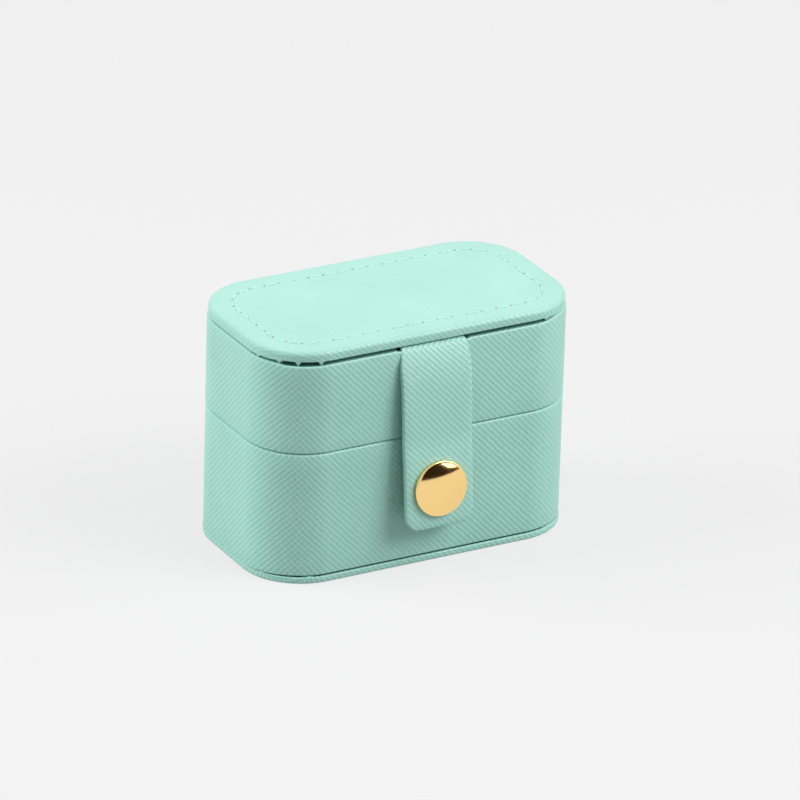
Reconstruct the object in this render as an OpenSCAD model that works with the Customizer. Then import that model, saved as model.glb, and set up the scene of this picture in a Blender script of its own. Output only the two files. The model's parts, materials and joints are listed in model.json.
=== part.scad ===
// Small ring case: board walls wrapped in grained leather, a lid hinged at the rear on a leather
// strip, and a front strap that closes on a ring snap. Inside, velvet bars hold the rings.
// The case stands on Z = 0 with its front to -Y, and the origin is the middle of its underside.

/* [Case] */
// Width across the leather of the side walls
case_w = 90; // [80:1:110]
// Depth across the leather of the front and rear walls
case_d = 50; // [46:1:66]
// Height from the table to the top of the lid
case_h = 64; // [60:1:80]
// Height of the parting line between base and lid
split_z = 36; // [33:1:40]
// Outer radius of the four upright corners
corner_r = 16; // [12:0.5:18]

/* [Wall layers] */
// Thickness of the cover leather, also used for the strap and the hinge
leather_t = 0.7; // [0.5:0.05:0.9]
// Thickness of the board in the walls
board_t = 2; // [1.6:0.1:2.6]
// Thickness of the velvet
velvet_t = 0.6; // [0.4:0.1:0.8]
// Width of the leather turned in behind each edge of a wall
turn_in = 6; // [4:0.5:7]
// Outer radius of the leather where it folds over the rims and the foot of the base
rim_r = 0.6; // [0.5:0.1:1]
// Outer radius of the leather at the top of the lid wall
shoulder_r = 1; // [0.8:0.1:1.6]

/* [Bottom and lid panels] */
// Thickness of the board in the bottom panel
bottom_board_t = 1.1; // [0.8:0.1:2]
// Overhang of the bottom panel beyond the walls
bottom_overhang = 0.1; // [0:0.1:1]
// Radius of both edges of the bottom panel
bottom_edge_r = 0.6; // [0.3:0.1:0.65]
// Thickness of the board in the lid panel
panel_board_t = 1.2; // [1:0.1:2]
// Thickness of the foam under the leather of the lid panel
panel_foam_t = 0.6; // [0.4:0.1:1.2]
// Setback of the lid panel from the walls
panel_setback = 0.3; // [0:0.1:1]
// Radius of the upper edge of the lid panel
panel_edge_r = 1.3; // [1.2:0.1:2]
// Radius of its lower edge, where the leather turns under
panel_under_r = 0.5; // [0.4:0.1:1]
// Width of the leather turned under the lid panel
panel_turn = 8; // [6:0.5:12]
// Thickness of the cards in the floor and the ceiling of the lining
card_t = 1.2; // [0.8:0.1:2]

/* [Ring bars] */
// Number of ring bars from front to rear
bar_count = 4; // [3:1:5]
// Drop of the bars below the rim of the base
bar_drop = 7; // [5:0.5:12]

/* [Hinge strip] */
// Width of the leather hinge strip
hinge_w = 46; // [30:1:48]
// Height of each leaf of the hinge strip
hinge_leaf_h = 10; // [8:0.5:14]
// Radius of the corners of each leaf
hinge_corner_r = 2; // [1:0.5:4]

/* [Strap] */
// Width of the closing strap
strap_w = 20; // [17:0.5:26]
// Height of the strap's tip above the table
strap_tip_z = 12; // [8:0.5:14]
// Radius of the two corners at the tip
strap_tip_r = 4; // [2:0.5:7]
// Inner radius of the strap's bend over the lid wall
strap_bend_r = 1; // [0.9:0.1:2]
// Reach of the strap beyond the front wall before it bends down
strap_reach = 0.2; // [0.1:0.1:1.2]

/* [Ring snap] */
// Height of the snap above the table
snap_z = 22.6; // [21:0.2:25]
// Thickness of the flanges of socket and stud
snap_sheet_t = 0.5; // [0.4:0.05:0.6]
// Diameter of the cap
cap_d = 14.8; // [12:0.2:16]
// Height of the cap's dome above the strap
cap_h = 2; // [1.4:0.1:2.4]
// Radius of the cap's rolled rim
cap_rim_r = 0.5; // [0.3:0.05:0.6]
// Diameter of the post under the cap
post_d = 3.2; // [2.4:0.1:3.4]
// Diameter of the flare that holds the post in the socket
post_flare_d = 4.2; // [3.8:0.1:4.6]
// Height of that flare
post_flare_h = 0.25; // [0.2:0.05:0.3]
// Diameter of the socket's flange
socket_d = 10.6; // [9.4:0.2:12]
// Diameter of the socket's body
socket_body_d = 8.4; // [7.6:0.2:9]
// Height of the socket behind the strap
socket_h = 2.7; // [2.6:0.1:3.4]
// Height of the socket's lip in front of the spring
socket_lip_h = 0.3; // [0.2:0.05:0.4]
// Diameter of the spring wire in the socket
spring_wire_d = 0.5; // [0.4:0.05:0.55]
// Opening of the spring, as an angle
spring_open = 50; // [30:5:90]
// Diameter of the stud's flange
stud_flange_d = 9.2; // [8:0.2:10.4]
// Diameter of the stud's neck
stud_neck_d = 3.8; // [3.5:0.1:4]
// Diameter of the stud's head
stud_head_d = 4.5; // [4.4:0.1:4.8]
// Diameter of the rivet's shank
rivet_d = 2.6; // [2:0.1:2.8]
// Diameter of the rivet's head
rivet_head_d = 8; // [6:0.2:9]

/* [Clearances] */
// Gap round pieces let into the leather and round shanks in their holes
fit_gap = 0.1; // [0.05:0.05:0.2]
// Gap round the loose lining parts and the ring bars
slide_gap = 0.3; // [0.2:0.05:0.4]
// Gap between the socket and the stud's flange on the snap's axis
snap_gap = 0.6; // [0.5:0.05:0.8]
// Gap between the spring and the stud's neck, and between the stud's head and the socket
stud_gap = 0.2; // [0.15:0.05:0.25]
// Gap between the stud's head and the flare of the cap's post
flare_gap = 0.3; // [0.2:0.05:0.35]

/* [Hidden] */
$fn = 64;
// Finer circle for the cap's dome, of which only a small arc is used
dome_fn = 720;
// Reach of a cutting shape past the face that it cuts
over = 1;
// Width of a soft panel's edge band and its overlap on the core, as multiples of its larger radius
edge_band = 2;
edge_overlap = 0.5;

// Wall, floor and lid stacks
wall_t = 2*leather_t + board_t;
lined_t = wall_t + velvet_t;
inner_inset = lined_t + slide_gap;
bottom_t = leather_t + bottom_board_t;
panel_t = 2*leather_t + panel_board_t + panel_foam_t;
lid_top_z = case_h - panel_t;

// Ring bars, side by side across the lined space
bar_w = (case_d - 2*inner_inset - (bar_count - 1)*slide_gap)/bar_count;
bar_foot_z = bottom_t + card_t;
bar_top_z = split_z - bar_drop;

// Ring snap, with heights out from the face of the front wall
snap_standoff = snap_sheet_t + snap_gap + socket_h;
stud_neck_h = snap_sheet_t + snap_gap + socket_lip_h + spring_wire_d + stud_gap;
stud_h = snap_standoff - snap_sheet_t - post_flare_h - flare_gap;
stud_head_h = stud_h - stud_neck_h;
rivet_reach = stud_neck_h - stud_gap;

// Strap, bent over the lid wall and leaning out to the snap
bend_z = lid_top_z - leather_t - strap_bend_r;
bend_outer_r = strap_bend_r + leather_t;
back_r = strap_bend_r - leather_t;
strap_lean = atan((snap_standoff - strap_reach - back_r)/(bend_z - snap_z));
fold_y = -case_d/2 - strap_reach - bend_outer_r*cos(strap_lean);
fold_z = bend_z + bend_outer_r*sin(strap_lean);
strap_l = (fold_z - strap_tip_z)/cos(strap_lean);
snap_along = (bend_z - snap_z + back_r*sin(strap_lean))/cos(strap_lean);
stud_z = snap_z - (snap_standoff - stud_neck_h)*tan(strap_lean);

leather_mint = [0.60, 0.83, 0.78];
velvet_cream = [0.90, 0.87, 0.80];
board_grey = [0.62, 0.60, 0.56];
foam_white = [0.95, 0.94, 0.90];
snap_gold = [0.93, 0.76, 0.45];
spring_steel = [0.72, 0.73, 0.75];

// Plan of the case, grown outwards by a margin or drawn in by a negative one
module case_plan(margin) {
  w = case_w + 2*margin;
  d = case_d + 2*margin;
  r = corner_r + margin;
  square([w - 2*r, d], center = true);
  square([w, d - 2*r], center = true);
  for (sx = [-1, 1], sy = [-1, 1])
    translate([sx*(w/2 - r), sy*(d/2 - r)])
      circle(r);
}

// A flat layer of the case's plan
module layer(margin, z0, z1) {
  translate([0, 0, z0])
    linear_extrude(z1 - z0)
      case_plan(margin);
}

// Carries a profile round the case: x is the distance out from the wall's face and y the height
module round_the_case() {
  side_w = case_w - 2*corner_r;
  side_d = case_d - 2*corner_r;
  for (turn = [0, 180])
    rotate(turn)
      translate([-side_w/2, case_d/2, 0])
        rotate([90, 0, 90])
          linear_extrude(side_w)
            children();
  for (turn = [90, 270])
    rotate(turn)
      translate([-side_d/2, case_w/2, 0])
        rotate([90, 0, 90])
          linear_extrude(side_d)
            children();
  for (sx = [-1, 1], sy = [-1, 1])
    translate([sx*side_w/2, sy*side_d/2, 0])
      rotate(sx > 0 ? (sy > 0 ? 0 : 270) : (sy > 0 ? 90 : 180))
        rotate_extrude(angle = 90)
          translate([corner_r, 0])
            children();
}

// What a rounded corner of radius r takes off a square one
module corner_waste(r) {
  difference() {
    square(r + over);
    circle(r);
  }
}

// Edge of a panel in section, with its upper and lower corners rounded
module panel_edge(margin, width, z0, z1, upper_r, lower_r) {
  difference() {
    translate([margin - width, z0])
      square([width, z1 - z0]);
    translate([margin - upper_r, z1 - upper_r])
      corner_waste(upper_r);
    translate([margin - lower_r, z0 + lower_r])
      mirror([0, 1])
        corner_waste(lower_r);
  }
}

// A panel of the case's plan with rounded edges
module soft_panel(margin, z0, z1, upper_r, lower_r) {
  round_r = max(upper_r, lower_r);
  layer(margin - (edge_band - edge_overlap)*round_r, z0, z1);
  round_the_case()
    panel_edge(margin, edge_band*round_r, z0, z1, upper_r, lower_r);
}

// Board ring of a wall that stands between z0 and z1 with its leather on
module wall_board(z0, z1) {
  translate([0, 0, z0 + leather_t])
    linear_extrude(z1 - z0 - 2*leather_t)
      difference() {
        case_plan(-leather_t);
        case_plan(-leather_t - board_t);
      }
}

// Leather of a wall: outside, over both edges and turned in behind them
module wall_cover(z0, z1, upper_r) {
  round_the_case()
    difference() {
      panel_edge(0, wall_t, z0, z1, upper_r, rim_r);
      translate([-leather_t - board_t, z0 + leather_t])
        square([board_t, z1 - z0 - 2*leather_t]);
      translate([-wall_t - over, z0 + turn_in])
        square([leather_t + 2*over, z1 - z0 - 2*turn_in]);
    }
}

// Velvet of a wall, stepped over the turned-in leather at both edges
module wall_lining(z0, z1) {
  step_z0 = z0 + turn_in;
  step_z1 = z1 - turn_in;
  round_the_case()
    difference() {
      translate([-lined_t, z0 + rim_r])
        square([leather_t + velvet_t, z1 - z0 - 2*rim_r]);
      translate([-wall_t, z0])
        square([leather_t + over, turn_in]);
      translate([-wall_t, step_z1])
        square([leather_t + over, turn_in]);
      translate([-lined_t - over, step_z0 + velvet_t])
        square([leather_t + over, step_z1 - step_z0 - 2*velvet_t]);
    }
}

// Flat tongue that hangs from y = 0, with its two lower corners rounded
module tongue(w, l, r) {
  translate([-w/2, -l + r])
    square([w, l - r]);
  translate([-w/2 + r, -l])
    square([w - 2*r, l - r]);
  for (s = [-1, 1])
    translate([s*(w/2 - r), -l + r])
      circle(r);
}

// Leaf of the hinge strip in the rear wall, hanging from the parting line
module hinge_leaf(gap, t) {
  translate([0, case_d/2 - leather_t, split_z])
    rotate([90, 0, 180])
      linear_extrude(t)
        tongue(hinge_w + 2*gap, hinge_leaf_h + gap, hinge_corner_r + gap);
}

// Turns a shape that hangs from the parting line into one that stands on it
module above_split() {
  translate([0, 0, 2*split_z])
    mirror([0, 0, 1])
      children();
}

// Window in a rear wall cover for a leaf of the hinge strip
module hinge_window() {
  hinge_leaf(fit_gap, leather_t + over);
  translate([-hinge_w/2 - fit_gap, case_d/2 - leather_t, split_z - over])
    cube([hinge_w + 2*fit_gap, leather_t + over, 2*over]);
}

// Places the stud's axis on the front wall, pointing out
module at_stud() {
  translate([0, -case_d/2, stud_z])
    rotate([90, 0, 0])
      children();
}

// Leather tray under the case
module bottom_cover() {
  color(leather_mint)
    difference() {
      soft_panel(bottom_overhang, 0, bottom_t, bottom_edge_r, bottom_edge_r);
      layer(bottom_overhang - leather_t, leather_t, bottom_t + over);
    }
}

// Board in the tray
module bottom_board() {
  color(board_grey)
    layer(bottom_overhang - leather_t, leather_t, bottom_t);
}

// Board ring of the base, drilled and counterbored for the snap's rivet
module base_wall_board() {
  color(board_grey)
    difference() {
      wall_board(bottom_t, split_z);
      at_stud()
        translate([0, 0, -wall_t])
          cylinder(d = rivet_d + 2*fit_gap, h = wall_t);
      at_stud()
        translate([0, 0, -wall_t])
          cylinder(d = rivet_head_d + 2*fit_gap, h = leather_t + snap_sheet_t);
    }
}

// Grained leather round the base, with the rivet's hole and a window for the hinge strip
module base_wall_cover() {
  color(leather_mint)
    difference() {
      wall_cover(bottom_t, split_z, rim_r);
      at_stud()
        translate([0, 0, -leather_t - fit_gap])
          cylinder(d = rivet_d + 2*fit_gap, h = leather_t + over);
      hinge_window();
    }
}

// Velvet round the inside of the base
module base_wall_lining() {
  color(velvet_cream)
    wall_lining(bottom_t, split_z);
}

// Card that the ring bars stand on
module insert_card() {
  color(board_grey)
    layer(-inner_inset, bottom_t, bottom_t + card_t);
}

// Round-topped bar across the lined space, drawn in by a skin and cut to its rounded ends
module ring_bar(i, skin, foot_z) {
  y = -case_d/2 + inner_inset + bar_w/2 + (i - 1)*(bar_w + slide_gap);
  round_z = bar_top_z - bar_w/2;
  intersection() {
    layer(-inner_inset - skin, foot_z, bar_top_z);
    translate([0, y, 0])
      rotate([90, 0, 90])
        linear_extrude(case_w, center = true) {
          translate([-bar_w/2 + skin, foot_z])
            square([bar_w - 2*skin, round_z - foot_z]);
          translate([0, round_z])
            circle(bar_w/2 - skin);
        }
  }
}

// Foam core of a ring bar
module ring_bar_foam(i) {
  color(foam_white)
    ring_bar(i, velvet_t, bar_foot_z);
}

// Velvet over a ring bar
module ring_bar_velvet(i) {
  color(velvet_cream)
    difference() {
      ring_bar(i, 0, bar_foot_z);
      ring_bar(i, velvet_t, bar_foot_z - over);
    }
}

// Stud of the ring snap on the front wall: flange, neck and rounded head over the rivet
module snap_stud() {
  color(snap_gold)
    at_stud()
      rotate_extrude()
        difference() {
          union() {
            square([stud_flange_d/2 - snap_sheet_t/2, snap_sheet_t]);
            translate([stud_flange_d/2 - snap_sheet_t/2, snap_sheet_t/2])
              circle(snap_sheet_t/2);
            square([stud_neck_d/2, stud_h]);
            translate([0, stud_neck_h])
              square([stud_head_d/2 - stud_head_h/2, stud_head_h]);
            translate([stud_head_d/2 - stud_head_h/2, stud_neck_h + stud_head_h/2])
              circle(stud_head_h/2);
          }
          translate([-over, -over])
            square([over + rivet_d/2 + fit_gap, over + rivet_reach + fit_gap]);
          translate([-stud_head_d, -over])
            square([stud_head_d, stud_h + 2*over]);
        }
}

// Rivet that holds the stud, its head let into the board
module snap_rivet() {
  color(snap_gold)
    at_stud()
      translate([0, 0, -leather_t - board_t]) {
        cylinder(d = rivet_head_d, h = snap_sheet_t);
        cylinder(d = rivet_d, h = leather_t + board_t + rivet_reach);
      }
}

// Lower leaf of the leather hinge strip
module hinge_base_leaf() {
  color(leather_mint)
    hinge_leaf(0, leather_t);
}

// Board ring of the lid
module lid_wall_board() {
  color(board_grey)
    wall_board(split_z, lid_top_z);
}

// Grained leather round the lid, notched for the strap's root and the hinge strip
module lid_wall_cover() {
  notch_w = strap_w + 2*fit_gap;
  color(leather_mint)
    difference() {
      wall_cover(split_z, lid_top_z, shoulder_r);
      translate([-notch_w/2, -case_d/2 - over, lid_top_z - leather_t])
        cube([notch_w, wall_t + 2*over, leather_t + over]);
      translate([-notch_w/2, -case_d/2 + leather_t + board_t, lid_top_z - turn_in - over])
        cube([notch_w, leather_t + over, turn_in + 2*over]);
      above_split()
        hinge_window();
    }
}

// Velvet round the inside of the lid
module lid_wall_lining() {
  color(velvet_cream)
    wall_lining(split_z, lid_top_z);
}

// Space inside the leather of the lid panel
module panel_core() {
  soft_panel(-panel_setback - leather_t, lid_top_z + leather_t, case_h - leather_t, panel_edge_r - leather_t, 0);
}

// Board of the lid panel
module lid_panel_board() {
  color(board_grey)
    intersection() {
      panel_core();
      layer(0, lid_top_z, lid_top_z + leather_t + panel_board_t);
    }
}

// Thin foam on the board of the lid panel
module lid_panel_foam() {
  color(foam_white)
    intersection() {
      panel_core();
      layer(0, lid_top_z + leather_t + panel_board_t, case_h);
    }
}

// Grained leather over the lid panel, turned under its edge
module lid_panel_cover() {
  color(leather_mint)
    difference() {
      soft_panel(-panel_setback, lid_top_z, case_h, panel_edge_r, panel_under_r);
      panel_core();
      layer(-panel_setback - panel_turn, lid_top_z - over, lid_top_z + leather_t + fit_gap);
    }
}

// Card of the lid's lining, glued up to the lid panel
module lid_ceiling_card() {
  color(board_grey)
    layer(-inner_inset - velvet_t, lid_top_z - card_t, lid_top_z);
}

// Velvet under that card and round its edge
module lid_ceiling_velvet() {
  color(velvet_cream)
    difference() {
      layer(-inner_inset, lid_top_z - card_t - velvet_t, lid_top_z);
      layer(-inner_inset - velvet_t, lid_top_z - card_t, lid_top_z + over);
    }
}

// Upper leaf of the leather hinge strip
module hinge_lid_leaf() {
  color(leather_mint)
    above_split()
      hinge_leaf(0, leather_t);
}

// Fixed end of the strap: turned in behind the lid wall, over its edge and bent down in front
module strap_root() {
  reach = bend_outer_r + over;
  color(leather_mint)
    translate([0, -case_d/2, 0])
      rotate([90, 0, -90])
        linear_extrude(strap_w, center = true) {
          translate([-wall_t, lid_top_z - turn_in])
            square([leather_t, turn_in]);
          translate([-wall_t, lid_top_z - leather_t])
            square([wall_t + strap_reach, leather_t]);
          translate([strap_reach, bend_z])
            intersection() {
              difference() {
                circle(bend_outer_r);
                circle(strap_bend_r);
              }
              polygon([[0, 0], reach*[cos(strap_lean), sin(strap_lean)], [reach, reach], [0, reach]]);
            }
        }
}

// Places the strap's outer face at its fold line, hanging down and leaning out to the snap
module on_strap() {
  translate([0, fold_y, fold_z])
    rotate([-strap_lean, 0, 0])
      children();
}

// One layer of the strap, a depth behind its outer face, pierced for the cap's post
module strap_layer(depth) {
  color(leather_mint)
    on_strap()
      translate([0, depth + leather_t, 0])
        rotate([90, 0, 0])
          linear_extrude(leather_t)
            difference() {
              tongue(strap_w, strap_l, strap_tip_r);
              translate([0, -snap_along])
                circle(d = post_d + 2*fit_gap);
            }
}

// Outer leather of the strap
module strap_front() {
  strap_layer(0);
}

// Backing leather of the strap
module strap_back() {
  strap_layer(leather_t);
}

// Cap of the ring snap: low dome, rolled rim, and a post flared behind the socket's flange
module snap_cap() {
  rim_x = cap_d/2 - cap_rim_r;
  rise = cap_h - 2*cap_rim_r;
  dome_r = (rim_x*rim_x + rise*rise)/(2*rise);
  post_l = 2*leather_t + snap_sheet_t;
  color(snap_gold)
    on_strap()
      translate([0, 0, -snap_along])
        rotate([90, 0, 0]) {
          rotate_extrude() {
            square([rim_x, 2*cap_rim_r]);
            translate([rim_x, cap_rim_r])
              circle(cap_rim_r);
            intersection() {
              translate([0, cap_h - dome_r])
                circle(dome_r, $fn = dome_fn);
              translate([0, cap_rim_r])
                square([rim_x, cap_h]);
            }
          }
          translate([0, 0, -post_l])
            cylinder(d = post_d, h = post_l + cap_rim_r);
          translate([0, 0, -post_l - post_flare_h])
            cylinder(d = post_flare_d, h = post_flare_h);
        }
}

// Places the snap's axis behind the strap, pointing to the wall
module behind_strap() {
  on_strap()
    translate([0, 2*leather_t, -snap_along])
      rotate([-90, 0, 0])
        children();
}

// Socket of the ring snap, with a groove for its spring
module snap_socket() {
  bore_r = stud_head_d/2 + stud_gap;
  groove_r = stud_head_d/2 + spring_wire_d + stud_gap/2;
  edge_r = snap_sheet_t/2;
  color(snap_gold)
    behind_strap()
      rotate_extrude()
        difference() {
          union() {
            square([socket_d/2 - edge_r, snap_sheet_t]);
            translate([socket_d/2 - edge_r, edge_r])
              circle(edge_r);
            square([socket_body_d/2, socket_h - edge_r]);
            square([socket_body_d/2 - edge_r, socket_h]);
            translate([socket_body_d/2 - edge_r, socket_h - edge_r])
              circle(edge_r);
          }
          translate([-over, -over])
            square([over + post_d/2 + fit_gap, socket_h]);
          translate([-over, snap_sheet_t])
            square([over + bore_r, socket_h]);
          translate([-over, socket_h - socket_lip_h - spring_wire_d - fit_gap])
            square([over + groove_r, spring_wire_d + 2*fit_gap]);
        }
}

// Split spring ring that grips the stud's neck
module snap_spring() {
  ring_r = stud_neck_d/2 + stud_gap + spring_wire_d/2;
  color(spring_steel)
    behind_strap()
      translate([0, 0, socket_h - socket_lip_h - spring_wire_d/2])
        rotate(spring_open/2)
          rotate_extrude(angle = 360 - spring_open)
            translate([ring_r, 0])
              circle(d = spring_wire_d);
}

bottom_cover();
bottom_board();
base_wall_board();
base_wall_cover();
base_wall_lining();
insert_card();
for (i = [1:bar_count]) ring_bar_foam(i);
for (i = [1:bar_count]) ring_bar_velvet(i);
snap_stud();
snap_rivet();
hinge_base_leaf();
lid_wall_board();
lid_wall_cover();
lid_wall_lining();
lid_panel_board();
lid_panel_foam();
lid_panel_cover();
lid_ceiling_card();
lid_ceiling_velvet();
hinge_lid_leaf();
strap_root();
strap_front();
strap_back();
snap_cap();
snap_socket();
snap_spring();
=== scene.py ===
"""Looks of a small ring case: grained leather over boards, velvet inside, and a gold ring snap."""
import json

import bmesh
import bpy
import numpy as np
from mathutils import Matrix, Vector


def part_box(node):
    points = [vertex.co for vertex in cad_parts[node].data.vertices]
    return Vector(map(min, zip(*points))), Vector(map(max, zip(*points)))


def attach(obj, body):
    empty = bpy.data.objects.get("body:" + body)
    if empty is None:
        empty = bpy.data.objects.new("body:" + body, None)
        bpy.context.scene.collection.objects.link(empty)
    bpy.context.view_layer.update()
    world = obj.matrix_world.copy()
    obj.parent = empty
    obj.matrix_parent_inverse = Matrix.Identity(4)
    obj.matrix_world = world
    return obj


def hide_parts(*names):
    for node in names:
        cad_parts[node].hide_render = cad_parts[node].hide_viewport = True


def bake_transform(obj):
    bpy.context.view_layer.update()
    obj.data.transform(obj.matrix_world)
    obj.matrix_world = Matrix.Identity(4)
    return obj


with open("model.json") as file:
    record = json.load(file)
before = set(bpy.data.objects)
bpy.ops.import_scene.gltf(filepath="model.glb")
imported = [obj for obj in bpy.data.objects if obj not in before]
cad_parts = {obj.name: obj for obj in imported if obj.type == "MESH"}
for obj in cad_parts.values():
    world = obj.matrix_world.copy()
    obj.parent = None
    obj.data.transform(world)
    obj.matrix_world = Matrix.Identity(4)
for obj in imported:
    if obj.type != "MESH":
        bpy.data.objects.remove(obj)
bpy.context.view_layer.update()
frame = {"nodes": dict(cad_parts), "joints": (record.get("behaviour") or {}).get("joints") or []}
mm = 0.001


# Bottom panel: a thin board in a leather tray, glued under the walls and standing a little proud of them.
# The leather is split hide with a coloured coat, embossed with two sets of fine ridges that cross.
# Its edge is rolled, and the underside that rests on the table is flat.
def linear(hex_colour):
    """Linear RGBA of an sRGB colour such as "#A4DACC"."""
    value = np.array([int(hex_colour[i:i + 2], 16) for i in (1, 3, 5)]) / 255
    light = np.where(value <= 0.04045, value / 12.92, ((value + 0.055) / 1.055) ** 2.4)
    return (*light, 1.0)


def add_node(tree, kind, inputs=None, **settings):
    """Adds a node with its settings, and gives each input, by name or number, a socket or a constant."""
    added = tree.nodes.new(kind)
    for name, value in settings.items():
        setattr(added, name, value)
    for key, value in (inputs or {}).items():
        if isinstance(value, bpy.types.NodeSocket):
            tree.links.new(value, added.inputs[key])
        else:
            added.inputs[key].default_value = value
    return added


def new_material(name):
    """A node material with no nodes yet, and its tree."""
    material = bpy.data.materials.new(name)
    material.use_nodes = True
    material.node_tree.nodes.clear()
    return material, material.node_tree


leather_mint = "#9ACEC1"
# Darker colour that the grooves and some soft patches of the hide are mixed towards: painted shade in the
# grooves, real tone in the patches.
leather_groove = "#91C5B8"
# Painted shade: the dark colour given to the needle holes.
painted_hole_shade_colour = "#3A665A"
# Painted shade: the dark colour that the leather is given inside an open seam.
painted_seam_shade_colour = "#3E7565"
ridge_pitch = 1.2 * mm
ridge_height = 0.135 * mm
ridge_turns = (45, -43)
ridge_power = 0.7
crest_shade = 0.08
pressed_left = 0.12
hide_patch = 22 * mm
needle_r = 0.45 * mm
needle_depth = 4.0
stitch_pitch = 4.3 * mm


def wave_scale(pitch):
    """Scale of a wave texture with bands at a pitch: at a scale of 1 a band takes 2 pi / 20."""
    return 2 * np.pi / (20 * pitch)


def grained_leather(name, stitches=0):
    """Coated, embossed leather: two sets of wavy ridges that cross, at about 45 degrees to the edges.

    The flat pattern of each piece is its UV map, in metres. A pressed attribute flattens the ridges by
    its share, and a second attribute darkens the leather inside an open seam, as painted shade of the seam.
    A stitched leather has needle holes too, dented and darkened in colour as painted shade in the holes,
    some drawn more open by the thread than others, from a UV map with the place along the stitched line,
    in stitches, and the distance from it, in metres.
    """
    material, tree = new_material(name)
    flat = add_node(tree, "ShaderNodeUVMap", uv_map="flat").outputs["UV"]
    bands = []
    for turn in ridge_turns:
        turned = add_node(
            tree, "ShaderNodeMapping", {"Vector": flat, "Rotation": (0, 0, np.radians(turn))}
        ).outputs["Vector"]
        band = add_node(
            tree, "ShaderNodeTexWave",
            {"Vector": turned, "Scale": wave_scale(ridge_pitch), "Distortion": 1.4, "Detail": 2.0,
             "Detail Scale": 0.6},
            wave_type="BANDS", bands_direction="X", wave_profile="SIN",
        ).outputs["Fac"]
        crest = add_node(tree, "ShaderNodeMath", {0: band, 1: ridge_power}, operation="POWER")
        bands.append(crest.outputs[0])
    height = add_node(tree, "ShaderNodeMath", {0: bands[0], 1: bands[1]}, operation="ADD").outputs[0]
    patch = add_node(
        tree, "ShaderNodeTexNoise", {"Vector": flat, "Scale": 1 / hide_patch, "Detail": 3.0}
    ).outputs["Fac"]
    # The grooves are painted a little darker than the crests, as painted shade of the grooves; the soft
    # patches add real tone that differs at random.
    shade = add_node(
        tree, "ShaderNodeMath", {0: height, 1: crest_shade, 2: patch}, operation="MULTIPLY_ADD"
    ).outputs[0]
    shade = add_node(
        tree, "ShaderNodeMapRange", {"Value": shade, "From Min": 0.3, "From Max": 0.85}
    ).outputs[0]
    colour = add_node(
        tree, "ShaderNodeMix", {"Factor": shade, "A": linear(leather_groove), "B": linear(leather_mint)},
        data_type="RGBA",
    ).outputs["Result"]
    # Painted shade: inside an open seam, by the share in its attribute, the colour is mixed towards a dark
    # mint that stands in for the seam's shade.
    glued = add_node(tree, "ShaderNodeAttribute", attribute_name="glued").outputs["Fac"]
    colour = add_node(
        tree, "ShaderNodeMix", {"Factor": glued, "A": colour, "B": linear(painted_seam_shade_colour)}, data_type="RGBA"
    ).outputs["Result"]
    gloss = add_node(
        tree, "ShaderNodeMapRange", {"Value": height, "From Max": 2.0, "To Min": 0.55, "To Max": 0.44}
    ).outputs[0]
    pressed = add_node(tree, "ShaderNodeAttribute", attribute_name="pressed").outputs["Fac"]
    strength = add_node(
        tree, "ShaderNodeMapRange", {"Value": pressed, "To Min": 1.0, "To Max": pressed_left}
    ).outputs[0]
    if stitches:
        line = add_node(tree, "ShaderNodeUVMap", uv_map="stitch_line").outputs["UV"]
        line = add_node(tree, "ShaderNodeSeparateXYZ", {0: line}).outputs
        along = add_node(tree, "ShaderNodeMath", {0: line["X"], 1: 0.5}, operation="PINGPONG").outputs[0]
        along = add_node(tree, "ShaderNodeMath", {0: along, 1: stitch_pitch}, operation="MULTIPLY")
        place = add_node(tree, "ShaderNodeCombineXYZ", {"X": along.outputs[0], "Y": line["Y"]}).outputs[0]
        apart = add_node(tree, "ShaderNodeVectorMath", {0: place}, operation="LENGTH").outputs["Value"]
        number = add_node(tree, "ShaderNodeMath", {0: line["X"]}, operation="ROUND").outputs[0]
        number = add_node(tree, "ShaderNodeMath", {0: number, 1: stitches}, operation="MODULO")
        chance = add_node(
            tree, "ShaderNodeTexWhiteNoise", {"W": number.outputs[0]}, noise_dimensions="1D"
        ).outputs["Value"]
        pull = add_node(
            tree, "ShaderNodeMapRange", {"Value": chance, "To Min": 0.35, "To Max": 1.0}
        ).outputs[0]
        hole = add_node(
            tree, "ShaderNodeMapRange",
            {"Value": apart, "From Min": needle_r / 2, "From Max": needle_r, "To Min": pull, "To Max": 0.0},
        ).outputs[0]
        # Painted shade: each needle hole is darkened in colour, standing in for the shade inside it; the
        # dent in the height below is relief.
        colour = add_node(
            tree, "ShaderNodeMix", {"Factor": hole, "A": colour, "B": linear(painted_hole_shade_colour)},
            data_type="RGBA",
        ).outputs["Result"]
        height = add_node(
            tree, "ShaderNodeMath", {0: hole, 1: -needle_depth, 2: height}, operation="MULTIPLY_ADD"
        ).outputs[0]
    relief = add_node(
        tree, "ShaderNodeBump", {"Height": height, "Strength": strength, "Distance": ridge_height / 2}
    ).outputs["Normal"]
    shader = add_node(
        tree, "ShaderNodeBsdfPrincipled",
        {"Base Color": colour, "Roughness": gloss, "Normal": relief, "IOR": 1.5,
         "Specular IOR Level": 0.75},
    )
    add_node(tree, "ShaderNodeOutputMaterial", {"Surface": shader.outputs[0]})
    return material


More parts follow.
